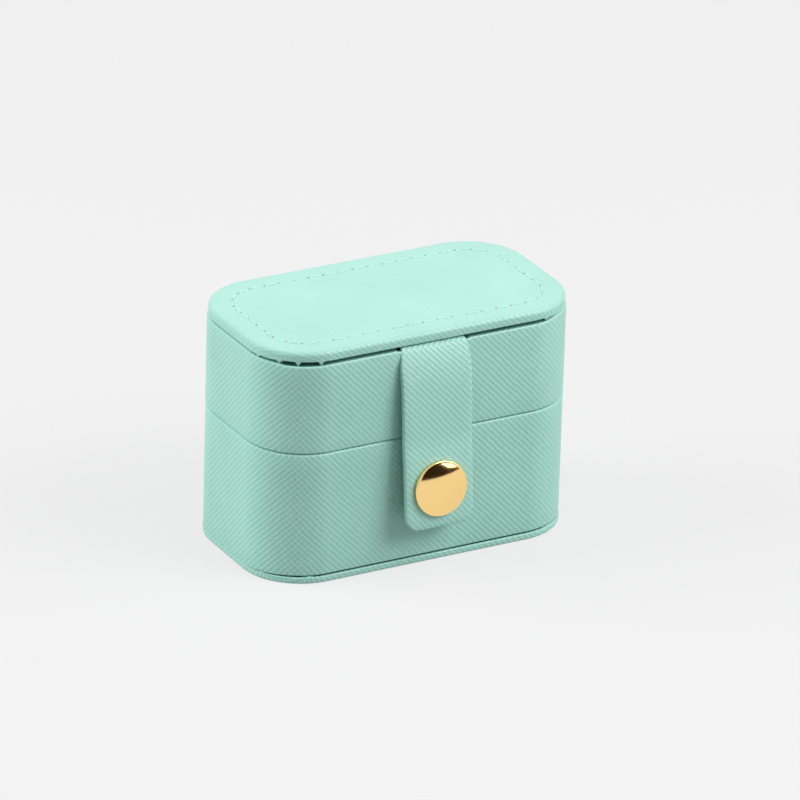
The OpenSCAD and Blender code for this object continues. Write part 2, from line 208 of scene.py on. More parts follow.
def ring(half_x, half_y, corner_r, step):
    """Columns round a rectangle with round corners, anticlockwise from the middle of its rear side.

    A column has a foot on the inner rectangle of the corners' centres and a unit vector out. The last
    array is the length along the edge at each column and at the close.
    """
    stops = np.array([(0, 1), (-1, 1), (-1, -1), (1, -1), (1, 1), (0, 1)])
    stops = stops * (half_x - corner_r, half_y - corner_r)
    feet = []
    angles = []
    for leg in range(5):
        run = stops[leg + 1] - stops[leg]
        share = np.linspace(0, 1, max(2, int(np.linalg.norm(run) / step)), endpoint=False)
        feet.append(stops[leg] + share[:, None] * run)
        angles.append(np.full(len(share), 90.0 * (leg + 1)))
        if leg < 4:
            turn = np.linspace(0, 1, max(6, int(corner_r * np.pi / 2 / step)), endpoint=False)
            feet.append(np.repeat(stops[leg + 1][None], len(turn), 0))
            angles.append(90.0 * (leg + 1 + turn))
    feet = np.concatenate(feet)
    angles = np.radians(np.concatenate(angles))
    out = np.stack([np.cos(angles), np.sin(angles)], -1)
    edge = feet + out * corner_r
    steps = np.linalg.norm(np.roll(edge, -1, 0) - edge, axis=1)
    return feet, out, corner_r, np.concatenate([[0], np.cumsum(steps)])


def plan(columns, inset):
    """Plan points at an inset from a ring's edge, as rows by columns.

    As far as the corners' centres a point is foot + out * (radius - inset). Beyond them the inner
    rectangle is drawn in with square corners, until its short side is a line.
    """
    feet, out, radius, _ = columns
    inset = np.asarray(inset) + np.zeros(len(feet))
    rounded = np.minimum(inset, radius)
    half = np.abs(feet).max(0)
    squared = np.minimum(inset - rounded, half.min())
    return feet * (1 - squared[..., None] / half) + out * (radius - rounded)[..., None]


def raised(places, z):
    """Points in space from plan points and their heights."""
    z = np.asarray(z) + np.zeros(places.shape[:2])
    return np.concatenate([places, z[..., None]], -1)


def quarter(start, end, count=7):
    """Cosine and sine, as columns, of angles from start to end in degrees."""
    angle = np.radians(np.linspace(start, end, count))[:, None]
    return np.cos(angle), np.sin(angle)


def new_piece(name, points, faces, material):
    """Adds a piece at the origin, with a mesh of points and of faces with four corners."""
    mesh = bpy.data.meshes.new(name)
    mesh.from_pydata(points.reshape(-1, 3), [], faces.reshape(-1, 4))
    mesh.materials.append(material)
    piece = bpy.data.objects.new(name, mesh)
    bpy.context.scene.collection.objects.link(piece)
    return piece


def closed_up(mesh, sharp):
    """Merges points that meet, turns the faces outwards, and shades smooth below an angle in degrees."""
    shape = bmesh.new()
    shape.from_mesh(mesh)
    bmesh.ops.remove_doubles(shape, verts=shape.verts, dist=0.002 * mm)
    bmesh.ops.dissolve_degenerate(shape, edges=shape.edges, dist=0.001 * mm)
    bmesh.ops.recalc_face_normals(shape, faces=shape.faces)
    shape.to_mesh(mesh)
    shape.free()
    mesh.shade_smooth()
    mesh.set_sharp_from_angle(angle=np.radians(sharp))


def skin(name, points, flat, material, sharp=50, stitch_line=None, **shares):
    """Piece from a grid of points, rows by columns, closed round the columns, with its flat pattern as UV.

    Rows that meet and lines that a row shrinks to are merged, so a skin whose rows close is a closed
    body. The places along a stitched line are a second UV map, and each share, such as pressed, is an
    attribute.
    """
    rows, count = points.shape[:2]
    row = np.arange(rows - 1)[:, None] * count
    here = np.arange(count)
    there = np.roll(here, -1)
    quads = np.stack([row + here, row + there, row + count + there, row + count + here], -1)
    piece = new_piece(name, points, quads, material)
    mesh = piece.data
    for map_name, places in (("flat", flat), ("stitch_line", stitch_line)):
        if places is None:
            continue
        if places.shape[1] == count:
            places = np.concatenate([places, places[:, :1]], 1)
        corners = np.stack([places[:-1, :-1], places[:-1, 1:], places[1:, 1:], places[1:, :-1]], 2)
        mesh.uv_layers.new(name=map_name).data.foreach_set("uv", corners.astype(np.float32).ravel())
    for share_name, share in shares.items():
        share = np.broadcast_to(share, (rows, count)).astype(np.float32)
        mesh.attributes.new(share_name, "FLOAT", "POINT").data.foreach_set("value", share.ravel())
    closed_up(mesh, sharp)
    return piece


def bearing(columns):
    """Bearing of each column in degrees: 180 is the left side and 270 the front."""
    return np.degrees(np.arctan2(columns[1][:, 1], columns[1][:, 0])) % 360


def corner_tucks(columns, places, width):
    """Share of a gathered pleat at each column: narrow bells at some shares of each corner's turn."""
    turn = (bearing(columns) % 90) / 90
    return np.minimum(1, np.exp(-(((turn[:, None] - np.array(places)) / width) ** 2)).sum(1))


def foot_slot(columns):
    """Opening of the seam over the bottom panel: it shows at the front and closes round the sides."""
    return np.interp(bearing(columns), (185, 205, 240, 290, 330), (0.0, 0.2, 0.4, 0.38, 0.0)) * mm


def foot_round(columns):
    """Radius of the edges that meet in that seam: full at the front, nearly sharp where it closes."""
    return np.interp(bearing(columns), (195, 235, 310, 345), (0.1, 0.5, 0.5, 0.1)) * mm


leather = grained_leather("embossed_leather_mint")
leather_t = 0.7 * mm
board_t = 2 * mm
wall_t = board_t + 2 * leather_t
wall_low, wall_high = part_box("base_wall_cover")
bottom_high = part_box("bottom_cover")[1]
case_half = (wall_high.x, wall_high.y)
corner_r = 16 * mm
bottom_proud = bottom_high.x - wall_high.x
bottom_roll = 0.6 * mm
bottom_t = bottom_high.z
bottom_lip = 1.7 * mm

bottom_ring = ring(bottom_high.x, bottom_high.y, corner_r + bottom_proud, 0.4 * mm)
bottom_middle = bottom_high.y
bottom_crest = 0.6 * foot_round(bottom_ring)
turn_cos, turn_sin = quarter(-90, 0)
bottom_tuck = foot_slot(bottom_ring) * corner_tucks(bottom_ring, (0.3, 0.8), 0.02)
wide = np.zeros(len(bottom_ring[0]))
bottom_inset = np.concatenate([
    bottom_middle + wide[None], corner_r + wide[None],
    bottom_roll - bottom_roll * turn_cos + wide, bottom_crest - bottom_crest * turn_cos[::-1],
    bottom_lip + wide[None], bottom_lip + wide[None], corner_r + wide[None], bottom_middle + wide[None],
])
bottom_z = np.concatenate([
    wide[None], wide[None],
    bottom_roll + bottom_roll * turn_sin + wide,
    bottom_t - bottom_crest - (bottom_crest + bottom_tuck) * turn_sin[::-1],
    bottom_t + bottom_tuck[None], leather_t + wide[None], leather_t + wide[None], leather_t + wide[None],
])
bottom_flat = plan(bottom_ring, bottom_inset - bottom_z)
bottom_panel = skin(
    "bottom_panel_leather", raised(plan(bottom_ring, bottom_inset), bottom_z), bottom_flat, leather
)
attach(bottom_panel, "base")
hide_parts("bottom_cover")


# Base wall: one band of the leather round a board ring, folded over both edges and turned in behind them.
# The seam of the band is at the rear, under the hinge strip.
turn_in = 6 * mm
fold_pressed = 0.6


def wall_leather(columns, z0, z1, top_r, foot_r, drop=0.0, lift=0.0):
    """Section of a wrapped wall as a closed line of insets and heights, carried round the case.

    It goes up the outer face between two quarter circles, over the rim, down the turned-in edge, back
    up behind it, down behind the outer face, and round the foot in the same way. The upper edge is let
    down by drop as far in as the rim, and the foot of the outer face is raised by lift, so that a seam
    is open outside.
    """
    back = wall_t - leather_t
    rim_r = 0.3 * mm
    low_cos, low_sin = quarter(-90, 0)
    high_cos, high_sin = quarter(0, 90)
    rim_cos, rim_sin = quarter(90, 180, 4)
    sill_cos, sill_sin = quarter(180, 270, 4)
    face = np.linspace(0, 1, 9)[1:-1, None]
    wide = np.zeros(len(columns[0]))
    inset = [
        foot_r - foot_r * low_cos, 0 * face, top_r - top_r * high_cos, [[wall_t - 3 * rim_r]],
        wall_t - rim_r - rim_r * rim_cos, [[wall_t]], [[back]], [[back]], [[leather_t]],
        [[leather_t]], [[back]], [[back]], [[wall_t]],
        wall_t - rim_r - rim_r * sill_cos, foot_r,
    ]
    face_z0 = z0 + lift + foot_r
    face_z1 = z1 - drop - top_r
    height = [
        face_z0 + foot_r * low_sin, face_z0 + face * (face_z1 - face_z0),
        face_z1 + top_r * high_sin, z1 - drop, z1 - rim_r + rim_r * rim_sin,
        z1 - turn_in, z1 - turn_in, z1 - leather_t, z1 - leather_t,
        z0 + leather_t, z0 + leather_t, z0 + turn_in, z0 + turn_in,
        z0 + rim_r + rim_r * sill_sin, z0 + lift,
    ]
    inset = np.concatenate([np.atleast_2d(part) + wide for part in inset])
    height = np.concatenate([np.atleast_2d(part) + wide for part in height])
    return inset, height


def wrapped(columns, inset, height):
    """Flat pattern of leather carried round a ring: length along the edge, and length up the section."""
    climb = np.hypot(np.diff(inset[:, 0]), np.diff(height[:, 0]))
    up = height[0, 0] + np.concatenate([[0], np.cumsum(climb)])
    return np.stack(np.meshgrid(columns[3], up), -1)


def rim_pressed(inset):
    """Share by which the fold over a rim flattens the ridges, growing over a millimetre inwards."""
    return fold_pressed * np.clip(inset / mm, 0, 1)


split_z = wall_high.z
split_r = 0.6 * mm
split_slot = 0.08 * mm
case_ring = ring(*case_half, corner_r, 0.5 * mm)
base_inset, base_height = wall_leather(
    case_ring, wall_low.z, split_z, split_r, foot_round(case_ring), split_slot, foot_slot(case_ring)
)
base_wall = skin(
    "base_wall_leather", raised(plan(case_ring, base_inset), base_height),
    wrapped(case_ring, base_inset, base_height), leather, pressed=rim_pressed(base_inset),
)
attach(base_wall, "base")
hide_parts("base_wall_cover")


# Boards and foam: grey board from waste paper in the walls and panels, and white foam in the lid panel.
# They are cut from sheet, and the leather and the velvet cover them.
def sheet_stock(name, colour, fleck, fleck_size, roughness):
    """Plain sheet stock: a ground colour with soft flecks of a second one, and a faint fibrous relief."""
    material, tree = new_material(name)
    place = add_node(tree, "ShaderNodeTexCoord").outputs["Object"]
    flecks = add_node(
        tree, "ShaderNodeTexNoise",
        {"Vector": place, "Scale": 1 / fleck_size, "Detail": 5.0, "Roughness": 0.65},
    ).outputs["Fac"]
    colours = add_node(
        tree, "ShaderNodeMix", {"Factor": flecks, "A": linear(fleck), "B": linear(colour)},
        data_type="RGBA",
    )
    relief = add_node(
        tree, "ShaderNodeBump", {"Height": flecks, "Strength": 0.6, "Distance": fleck_size / 8}
    ).outputs["Normal"]
    shader = add_node(
        tree, "ShaderNodeBsdfPrincipled",
        {"Base Color": colours.outputs["Result"], "Roughness": roughness, "Normal": relief},
    )
    add_node(tree, "ShaderNodeOutputMaterial", {"Surface": shader.outputs[0]})
    return material


def dress(node, material):
    """Gives a solid that stays in view its material."""
    mesh = frame["nodes"][node].data
    mesh.materials.clear()
    mesh.materials.append(material)


grey_board = sheet_stock("grey_board", "#A8A298", "#7F796F", 1.5 * mm, 0.85)
white_foam = sheet_stock("open_cell_foam", "#F3F0E6", "#D9D4C6", 0.8 * mm, 0.9)
boards = (
    "bottom_board", "base_wall_board", "insert_card",
    "lid_wall_board", "lid_panel_board", "lid_ceiling_card",
)
for board in boards:
    dress(board, grey_board)
dress("lid_panel_foam", white_foam)


# Lining of the base: velvet glued round the inside of the board, up over the turned-in leather.
# The pile is short and even, and the edge of the turned-in leather shows through as a soft step.
velvet_cream = "#E4DCCB"
velvet_deep = "#C6BBA5"
velvet_t = 0.6 * mm
tuft_shade = 0.5
pile_size = 0.45 * mm
nap_patch = 14 * mm


def short_velvet(name):
    """Velvet with a short cut pile: a soft sheen at grazing angles, nap marks and a relief of tufts."""
    material, tree = new_material(name)
    place = add_node(tree, "ShaderNodeTexCoord").outputs["Object"]
    tufts = add_node(
        tree, "ShaderNodeTexNoise", {"Vector": place, "Scale": 1 / pile_size, "Detail": 2.0}
    ).outputs["Fac"]
    nap = add_node(
        tree, "ShaderNodeTexNoise", {"Vector": place, "Scale": 1 / nap_patch, "Detail": 3.0}
    ).outputs["Fac"]
    shade = add_node(
        tree, "ShaderNodeMath", {0: tufts, 1: tuft_shade, 2: nap}, operation="MULTIPLY_ADD"
    ).outputs[0]
    shade = add_node(
        tree, "ShaderNodeMapRange", {"Value": shade, "From Min": 0.45, "From Max": 1.0}
    ).outputs[0]
    colours = add_node(
        tree, "ShaderNodeMix", {"Factor": shade, "A": linear(velvet_deep), "B": linear(velvet_cream)},
        data_type="RGBA",
    )
    relief = add_node(
        tree, "ShaderNodeBump", {"Height": tufts, "Strength": 0.7, "Distance": pile_size / 3}
    ).outputs["Normal"]
    shader = add_node(
        tree, "ShaderNodeBsdfPrincipled",
        {"Base Color": colours.outputs["Result"], "Roughness": 0.92, "Normal": relief,
         "Sheen Weight": 0.6, "Sheen Roughness": 0.35, "Sheen Tint": linear("#FFF8EA"),
         "Specular IOR Level": 0.15},
    )
    add_node(tree, "ShaderNodeOutputMaterial", {"Surface": shader.outputs[0]})
    return material


def wall_velvet(columns, z0, z1, turned_low, turned_high):
    """Section of a wall's lining as a closed line: down its face, then up its back.

    Between the turned-in edges it falls back by one leather thickness, in steps that are smooth at both
    ends: 3 f ** 2 - 2 f ** 3.
    """
    round_r = 0.25 * mm
    step_w = 0.9 * mm
    up = np.linspace(z0 + round_r, z1 - round_r, 60)[:, None]
    past_low = np.clip((up - turned_low) / step_w, 0, 1)
    past_high = np.clip((turned_high - up) / step_w, 0, 1)
    fall = np.minimum(past_low, past_high)
    face = wall_t + velvet_t - leather_t * fall * fall * (3 - 2 * fall)
    wide = np.zeros(len(columns[0]))
    inset = np.concatenate([
        [[wall_t]], [[wall_t + velvet_t - round_r]], face[::-1],
        [[wall_t + velvet_t - round_r]], [[wall_t]], (face - velvet_t), [[wall_t]],
    ])
    height = np.concatenate([[[z1]], [[z1]], up[::-1], [[z0]], [[z0]], up, [[z1]]])
    return inset + wide, height + wide


velvet = short_velvet("cotton_velvet_cream")
lining_low, lining_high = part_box("base_wall_lining")
velvet_inset, velvet_height = wall_velvet(
    case_ring, lining_low.z, lining_high.z, wall_low.z + turn_in, split_z - turn_in
)
base_lining = skin(
    "base_lining_velvet", raised(plan(case_ring, velvet_inset), velvet_height),
    wrapped(case_ring, velvet_inset, velvet_height), velvet,
)
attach(base_lining, "base")
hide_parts("base_wall_lining")


# Ring bars: foam bars with round tops in velvet, side by side, so that rings stand in the grooves.
# They fill the base from front to rear, and their ends follow its round corners.
lined_inset = wall_t + velvet_t + 0.3 * mm
side_power = 5.0
top_power = 3.4
foot_square = 0.35
end_power = 26
wave_depth = 0.012
wave_turn = 9
wave_shift = 0.9 / mm
bar_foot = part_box("ring_bar_velvet_1")[0].z
lined_ring = (case_half[0] - lined_inset, case_half[1] - lined_inset, corner_r - lined_inset)


def bar_skin(low, high):
    """Grid of one padded bar: a section across it, carried along it, with both ends drawn in.

    The section is a superellipse, of power 5 across and 3.4 up, and squarer at the foot. The length at a
    depth y is the width of the lined space there. The ends shrink as the cube root of 1 - along ** 26,
    and the top sinks in slow waves that differ from bar to bar.
    """
    across = np.linspace(0, 2 * np.pi, 65)[:-1]
    along = np.sin(np.linspace(-np.pi / 2, np.pi / 2, 81))[:, None]
    half_w = (high.y - low.y) / 2
    middle_y = (high.y + low.y) / 2
    middle_z = (high.z + bar_foot) / 2
    half_z = (high.z - bar_foot) / 2
    side = np.sign(np.cos(across)) * np.abs(np.cos(across)) ** (2 / side_power)
    rise = np.sign(np.sin(across)) * np.abs(np.sin(across)) ** (2 / top_power)
    rise = np.where(np.sin(across) < 0, np.sign(rise) * np.abs(rise) ** foot_square, rise)
    draw_in = (1 - np.abs(along) ** end_power) ** (1 / 3)
    swell = 1 - wave_depth * (1 + np.sin(along * wave_turn + middle_y * wave_shift))
    y = middle_y + half_w * side * draw_in
    z = middle_z + half_z * rise * np.where(rise > 0, draw_in * swell, draw_in)
    past = np.clip(np.abs(y) - lined_ring[1] + lined_ring[2], 0, lined_ring[2])
    reach = lined_ring[0] - lined_ring[2] + np.sqrt(lined_ring[2] ** 2 - past ** 2)
    return np.stack([along * reach, y, z], -1)


for bar in range(1, 5):
    bar_points = bar_skin(*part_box(f"ring_bar_velvet_{bar}"))
    ring_bar = skin(f"ring_bar_{bar}", bar_points, bar_points[..., :2], velvet)
    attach(ring_bar, "base")
    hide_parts(f"ring_bar_velvet_{bar}", f"ring_bar_foam_{bar}")


# Stud of the ring snap: a flanged stud of plated brass sheet, riveted through the front wall.
# The rivet's head is let into the board behind it.
gold_plate = "#FFDA92"
cloud_size = 3 * mm


def plated_brass(name, colour, roughness):
    """Polished plate: a metal whose roughness varies a little in soft clouds, as handling leaves it."""
    material, tree = new_material(name)
    place = add_node(tree, "ShaderNodeTexCoord").outputs["Object"]
    clouds = add_node(
        tree, "ShaderNodeTexNoise", {"Vector": place, "Scale": 1 / cloud_size, "Detail": 4.0}
    ).outputs["Fac"]
    gloss = add_node(
        tree, "ShaderNodeMapRange",
        {"Value": clouds, "To Min": roughness * 0.7, "To Max": roughness * 1.3},
    ).outputs[0]
    shader = add_node(
        tree, "ShaderNodeBsdfPrincipled",
        {"Base Color": linear(colour), "Metallic": 1.0, "Roughness": gloss},
    )
    add_node(tree, "ShaderNodeOutputMaterial", {"Surface": shader.outputs[0]})
    return material


def turned(name, radius, height, foot, axis, material, count=96, sharp=35):
    """Skin of a closed outline of radii and heights, turned about an axis through its foot."""
    axis = np.array(axis) / np.linalg.norm(axis)
    side = np.cross(axis, (1.0, 0.0, 0.0))
    angle = np.linspace(0, 2 * np.pi, count, endpoint=False)
    spoke = np.cos(angle)[:, None] * (1.0, 0.0, 0.0) + np.sin(angle)[:, None] * side
    radius = np.asarray(radius)[:, None]
    height = np.asarray(height)[:, None]
    points = np.array(foot) + height[..., None] * axis + radius[..., None] * spoke
    return skin(name, points, np.stack(np.broadcast_arrays(angle * radius, height), -1), material, sharp)


gold = plated_brass("gold_plated_brass", gold_plate, 0.09)
stud_low, stud_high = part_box("snap_stud")
stud_foot = (0, stud_high.y, (stud_low.z + stud_high.z) / 2)
stud_h = stud_high.y - stud_low.y
flange_r = (stud_high.z - stud_low.z) / 2
flange_t = 0.5 * mm
neck_r = 1.9 * mm
head_r = 2.25 * mm
shank_r = 1.4 * mm
head_h = 0.65 * mm
lip_cos, lip_sin = (part[:, 0] for part in quarter(-90, 90, 9))
cove_cos, cove_sin = (part[:, 0] for part in quarter(-90, -180, 5))
cove_r = 0.35 * mm
stud_radius = np.concatenate([
    [shank_r], flange_r - flange_t / 2 + flange_t / 2 * lip_cos,
    neck_r + cove_r + cove_r * cove_cos, [neck_r],
    head_r - head_h / 2 + head_h / 2 * lip_cos, [0.0], [0.0], [shank_r], [shank_r],
])
stud_height = np.concatenate([
    [0.0], flange_t / 2 + flange_t / 2 * lip_sin,
    flange_t + cove_r + cove_r * cove_sin, [stud_h - head_h],
    stud_h - head_h / 2 + head_h / 2 * lip_sin, [stud_h], [stud_h - head_h], [stud_h - head_h], [0.0],
])
stud = turned("snap_stud_gold", stud_radius, stud_height, stud_foot, (0, -1, 0), gold)
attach(stud, "base")
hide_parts("snap_stud")
dress("snap_rivet", gold)


# Lid wall: a second wrapped band, with a round shoulder under the lid panel.
# At the front its upper edge is let down by one leather thickness, where the strap passes in over it.
lid_low, lid_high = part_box("lid_wall_cover")
shoulder_r = 0.6 * mm
strap_low, strap_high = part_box("strap_front")
strap_half = strap_high.x
feet, outward = case_ring[:2]
notch_half = strap_half + 0.4 * mm
notch_edge = 0.3 * mm
at_front = outward[:, 1] < -0.999
in_notch = np.clip((notch_half - np.abs(feet[:, 0])) / notch_edge, 0, 1) * at_front


def panel_slot(columns):
    """Opening of the seam under the lid panel: wide at the front and its left corner, closed elsewhere."""
    open_at = (180, 196, 219, 226, 255, 270, 284, 296)
    return np.interp(bearing(columns), open_at, (0.12, 0.25, 0.35, 0.6, 0.6, 0.48, 0.45, 0.05)) * mm


lid_notch = leather_t * in_notch
lid_inset, lid_height = wall_leather(
    case_ring, lid_low.z, lid_high.z - lid_notch, shoulder_r, split_r,
    np.maximum(panel_slot(case_ring) - lid_notch, 0), split_slot,
)
# Painted shade: the leather inside the seam under the lid panel is painted darker, more where the seam
# opens wider.
slot_open = panel_slot(case_ring) / panel_slot(case_ring).max()
in_slot = (lid_height > lid_high.z - 2 * leather_t) * np.clip(2 * lid_inset / shoulder_r - 1, 0, 1)
lid_wall = skin(
    "lid_wall_leather", raised(plan(case_ring, lid_inset), lid_height),
    wrapped(case_ring, lid_inset, lid_height), leather,
    pressed=rim_pressed(lid_inset), glued=in_slot * slot_open,
)
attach(lid_wall, "lid")
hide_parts("lid_wall_cover")


# Lining of the lid: the same velvet round the inside of its wall.
# It is glued to the board and over the turned-in leather at both edges.
lid_lining_low, lid_lining_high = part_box("lid_wall_lining")
velvet_inset, velvet_height = wall_velvet(
    case_ring, lid_lining_low.z, lid_lining_high.z, lid_low.z + turn_in, lid_high.z - turn_in
)
lid_lining = skin(
    "lid_lining_velvet", raised(plan(case_ring, velvet_inset), velvet_height),
    wrapped(case_ring, velvet_inset, velvet_height), velvet,
)
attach(lid_lining, "lid")
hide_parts("lid_wall_lining")


# Ceiling of the lid: a card in velvet with a thin pad, pushed up against the lid panel.
# The velvet is folded over the card's edge and presses against the lining, and its face is crowned.
ceiling_low, ceiling_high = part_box("lid_ceiling_velvet")
ceiling_press = 0.4 * mm
ceiling_half = (ceiling_high.x + ceiling_press, ceiling_high.y + ceiling_press)
ceiling_ring = ring(*ceiling_half, corner_r - lined_inset + ceiling_press, 1.0 * mm)
ceiling_middle = ceiling_half[1]
ceiling_roll = 0.9 * mm
ceiling_crown = 0.5 * mm
crown_power = 2.5
roll_cos, roll_sin = quarter(0, 90)
ceiling_in = np.linspace(ceiling_roll, ceiling_middle, 24)[:, None]
ceiling_inset = np.concatenate([
    [[ceiling_middle]], [[0.0]], ceiling_roll - ceiling_roll * roll_cos, ceiling_in[1:],
])
swollen = 1 - (1 - (ceiling_in - ceiling_roll) / (ceiling_middle - ceiling_roll)) ** crown_power
ceiling_z = np.concatenate([
    [[ceiling_high.z]], [[ceiling_high.z]],
    ceiling_low.z + ceiling_roll - ceiling_roll * roll_sin,
    (ceiling_low.z - ceiling_crown * swollen)[1:],
])
ceiling_plan = plan(ceiling_ring, ceiling_inset)
ceiling_pad = skin("lid_ceiling_pad", raised(ceiling_plan, ceiling_z), ceiling_plan, velvet)
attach(ceiling_pad, "lid")
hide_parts("lid_ceiling_velvet")


# Lid panel: board and thin foam in leather, stitched along a line inside its edge and glued on the wall.
# The leather is turned under, and at the round corners it is gathered into pleats that show in the seam.
panel_low, panel_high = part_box("lid_panel_cover")
panel_back = case_half[0] - panel_high.x
panel_ring = ring(panel_high.x, panel_high.y, corner_r - panel_back, 0.4 * mm)
panel_top = panel_high.z
panel_foot = panel_low.z
panel_middle = panel_high.y
panel_roll = 1.2 * mm
panel_turn = 8 * mm
stitch_inset = 6 * mm
stitch_dent = 0.14 * mm
stitch_dent_w = 0.7 * mm
roll_pressed = 0.25
roll_in = 1.0 * mm
roll_in_w = 1.6 * mm
pleat_out = 0.1 * mm

tuck = corner_tucks(panel_ring, (0.17, 0.44, 0.64, 0.88), 0.018)
panel_lift = 0.8 * panel_slot(panel_ring) * (1 - tuck)
bridge = tuck * (panel_slot(panel_ring) + pleat_out)
under_r = 0.35 * mm
seam_depth = 4.5 * mm

high_cos, high_sin = quarter(90, 0, 12)
low_cos, low_sin = quarter(0, -90, 7)
# The rows of the top lie closest on both sides of the stitched line.
top_in = np.concatenate([
    np.linspace(panel_middle, 9 * mm, 16), np.linspace(8.5 * mm, 4 * mm, 28),
    np.linspace(3.6 * mm, panel_roll, 6),
])[:, None]
top_z = panel_top - stitch_dent * np.exp(-(((top_in - stitch_inset) / stitch_dent_w) ** 2))
wide = np.zeros(len(panel_ring[0]))
panel_inset = np.concatenate([
    top_in + wide, panel_roll - panel_roll * high_cos[1:] + wide,
    under_r - under_r * low_cos + wide, seam_depth + wide[None],
    panel_turn + wide[None], panel_turn + wide[None],
    leather_t + wide[None], panel_roll + wide[None], panel_middle + wide[None],
])
panel_z = np.concatenate([
    top_z + wide, panel_top - panel_roll + panel_roll * high_sin[1:] + wide,
    panel_foot + panel_lift + under_r + (under_r + bridge) * low_sin,
    panel_foot + wide[None], panel_foot + wide[None], panel_foot + leather_t + wide[None],
    panel_foot + leather_t + wide[None],
    panel_top - leather_t + wide[None], panel_top - leather_t + wide[None],
])
panel_climb = np.hypot(np.diff(panel_inset[:, 0]), np.diff(panel_z[:, 0]))
panel_unrolled = panel_middle - np.concatenate([[0], np.cumsum(panel_climb)])
stitch_line = plan(panel_ring, [[stitch_inset]])[0]
stitch_line = np.concatenate([stitch_line, stitch_line[:1]])
stitch_along = np.concatenate([[0], np.cumsum(np.linalg.norm(np.diff(stitch_line, axis=0), axis=1))])
stitch_count = int(round(stitch_along[-1] / stitch_pitch))
stitch_pattern = np.stack(np.broadcast_arrays(
    stitch_along / stitch_along[-1] * stitch_count, panel_unrolled[:, None] - stitch_inset
), -1)
panel_pressed = np.zeros((len(panel_z), 1))
panel_pressed[:len(top_in)] = np.clip((top_in - roll_in) / roll_in_w, roll_pressed, 1)
panel_pressed[len(top_in):] = roll_pressed
lid_panel = skin(
    "lid_panel_leather", raised(plan(panel_ring, panel_inset), panel_z),
    plan(panel_ring, panel_unrolled[:, None]),
    grained_leather("embossed_leather_stitched", stitch_count),
    stitch_line=stitch_pattern, pressed=panel_pressed,
)
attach(lid_panel, "lid")
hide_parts("lid_panel_cover")


# Stitching of the lid panel: one line of lockstitch in polyester thread of the leather's colour.
# Each stitch lies in a slight dent, and its ends go down into the needle's holes.
stitch_len = 3.7 * mm
thread_r = 0.22 * mm
thread_mint = "#ACDCD0"
ply_pitch = 0.35 * mm
ply_depth = 0.05 * mm
stitch_at = (np.arange(stitch_count) + 0.5) * stitch_along[-1] / stitch_count


def along_line(length):
    """Point of the stitched line at a length along it."""
    return np.stack([np.interp(length, stitch_along, stitch_line[:, axis]) for axis in (0, 1)], -1)


def stitch_grid():
    """All stitches as one grid of rings: stitch, step along it, step round it.

    The thread's middle lies 0.3 of its radius over the dent, and falls by 2.2 radii at both ends, with
    the fourth power of the share. Its section is a circle that shrinks as the root of 1 - share ** 8.
    """
    share = np.linspace(-1, 1, 11)
    around = np.linspace(0, 2 * np.pi, 8, endpoint=False)
    place = along_line(stitch_at[:, None] + share * stitch_len / 2)
    ahead = along_line(stitch_at + stitch_len / 2) - along_line(stitch_at - stitch_len / 2)
    ahead = ahead / np.linalg.norm(ahead, axis=1, keepdims=True)
    across = np.stack([-ahead[:, 1], ahead[:, 0]], -1)
    lift = thread_r * 0.3 - 2.2 * thread_r * np.abs(share) ** 4
    radius = thread_r * np.sqrt(np.maximum(1 - share ** 8, 0))
    out = radius[:, None] * np.cos(around)
    up = lift[:, None] + radius[:, None] * np.sin(around)
    flat = place[:, :, None] + across[:, None, None] * out[None, ..., None]
    z = np.broadcast_to(panel_top - stitch_dent + up, flat.shape[:3])
    return np.concatenate([flat, z[..., None]], -1)


def polyester_thread(name, colour):
    """Twisted thread: slightly glossy fibre with a fine slant relief of its plies."""
    material, tree = new_material(name)
    place = add_node(tree, "ShaderNodeTexCoord").outputs["Object"]
    plies = add_node(
        tree, "ShaderNodeTexWave", {"Vector": place, "Scale": wave_scale(ply_pitch), "Distortion": 1.0},
        wave_type="BANDS", bands_direction="DIAGONAL",
    ).outputs["Fac"]
    relief = add_node(
        tree, "ShaderNodeBump", {"Height": plies, "Strength": 0.5, "Distance": ply_depth}
    ).outputs["Normal"]
    shader = add_node(
        tree, "ShaderNodeBsdfPrincipled",
        {"Base Color": linear(colour), "Roughness": 0.45, "Normal": relief, "Sheen Weight": 0.2},
    )
    add_node(tree, "ShaderNodeOutputMaterial", {"Surface": shader.outputs[0]})
    return material


stitches = stitch_grid()
count, steps, sides = stitches.shape[:3]
first = np.arange(count)[:, None, None] * steps * sides
row = np.arange(steps - 1)[:, None] * sides
here = np.arange(sides)
there = np.roll(here, -1)
tubes = np.stack(np.broadcast_arrays(
    first + row + here, first + row + sides + here, first + row + sides + there, first + row + there
), -1)
thread = new_piece(
    "lid_panel_stitches", stitches, tubes, polyester_thread("polyester_thread_mint", thread_mint)
)
closed_up(thread.data, 180)
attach(thread, "lid")


# Hinge: a strip of the leather across the parting line at the rear, glued to base and lid.
# It stands a little proud of the wall, with a crease along the line where it folds.
leaf_low, leaf_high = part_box("hinge_base_leaf")
hinge_half = (leaf_high.x, leaf_high.z - leaf_low.z)
hinge_proud = 0.3 * mm
hinge_edge = 0.25 * mm
hinge_crease = 0.22 * mm
crease_w = 0.7 * mm
hinge_ring = ring(*hinge_half, 2 * mm, 0.6 * mm)
hinge_high_cos, hinge_high_sin = quarter(90, 0, 5)
